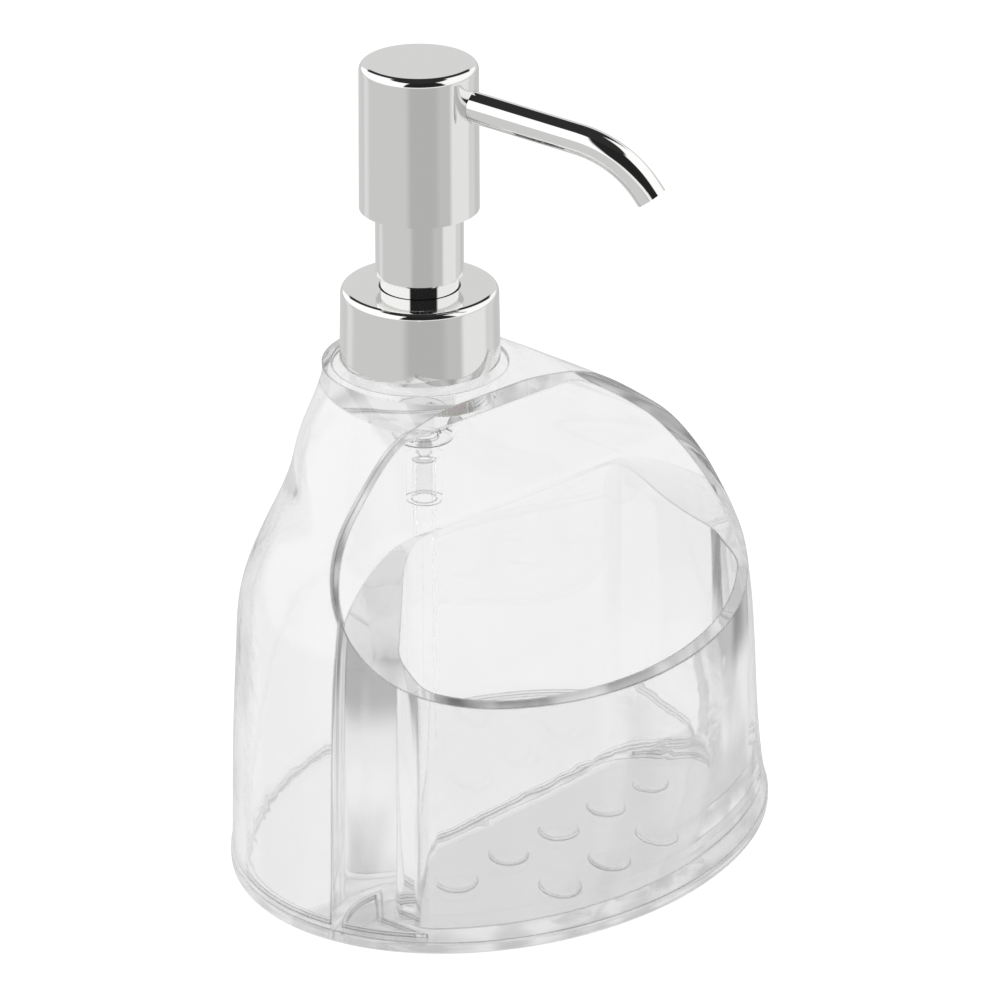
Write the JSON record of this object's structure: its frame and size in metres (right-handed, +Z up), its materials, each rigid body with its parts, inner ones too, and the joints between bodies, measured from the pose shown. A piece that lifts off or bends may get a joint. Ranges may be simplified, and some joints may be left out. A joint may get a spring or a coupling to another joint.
{
  "type": "soap dispenser",
  "caption": "Clear countertop soap dispenser with a round neck, a chrome lotion pump with a bent spout, and an open oval sponge caddy moulded into its front.",
  "frame": {"origin": "where the pump's axis meets the surface that the dispenser stands on", "axes": "+X to the right seen from the front, -Y to the front with the caddy, +Z up; at rest the spout points 24 degrees to the right of -Y"},
  "size_m": [0.1402, 0.1114, 0.183],
  "materials": {
    "clear_plastic": "clear, gloss moulded",
    "clear_pump_plastic": "clear, thin-walled moulding and tube",
    "natural_plastic": "translucent moulded polypropylene",
    "white_plastic": "moulded polypropylene",
    "chrome_plated_plastic": "bright chrome plate on moulded ABS",
    "chrome_tube": "bright chrome",
    "seal_rubber": "soft matt",
    "spring_steel": "drawn wire",
    "ball_glass": "polished glass bead"
  },
  "bodies": {
    "bottle": {"body_shell": "clear_plastic", "base_plate": "clear_plastic"},
    "pump_body": {"pump_housing": "clear_pump_plastic", "chaplet": "natural_plastic", "guide_sleeve": "chrome_plated_plastic", "neck_gasket": "seal_rubber", "ball_cage": "clear_pump_plastic", "dip_tube": "clear_pump_plastic", "return_spring": "spring_steel"},
    "collar": {"collar_shell": "chrome_plated_plastic", "closure_insert": "white_plastic"},
    "plunger": {"stem": "white_plastic", "piston": "natural_plastic", "stem_foot": "white_plastic"},
    "head": {"head_shell": "chrome_plated_plastic", "head_core": "white_plastic", "spout": "chrome_tube"},
    "inlet_valve": {"inlet_ball": "ball_glass"},
    "outlet_valve": {"outlet_ball": "ball_glass"}
  },
  "joints": [
    {"name": "pump_lift_out", "type": "slide", "parent": "bottle", "child": "pump_body", "axis": [0, 0, 1], "range_m": [0, 0.125]},
    {"name": "collar_turn", "type": "hinge", "parent": "pump_body", "child": "collar", "pos_m": [0, 0, 0.118], "axis": [0, 0, 1], "range_deg": [0, 540]},
    {"name": "pump_press", "type": "slide", "parent": "pump_body", "child": "plunger", "axis": [0, 0, -1], "range_m": [0, 0.013], "stiffness_N_per_m": 250, "springref_m": -0.016, "deforming": ["return_spring"]},
    {"name": "head_swivel", "type": "hinge", "parent": "plunger", "child": "head", "pos_m": [0, 0, 0.165], "axis": [0, 0, 1], "continuous": true},
    {"name": "inlet_ball_lift", "type": "slide", "parent": "pump_body", "child": "inlet_valve", "axis": [0, 0, 1], "range_m": [0, 0.0015]},
    {"name": "outlet_ball_lift", "type": "slide", "parent": "plunger", "child": "outlet_valve", "axis": [0, 0, 1], "range_m": [0, 0.0015]}
  ]
}
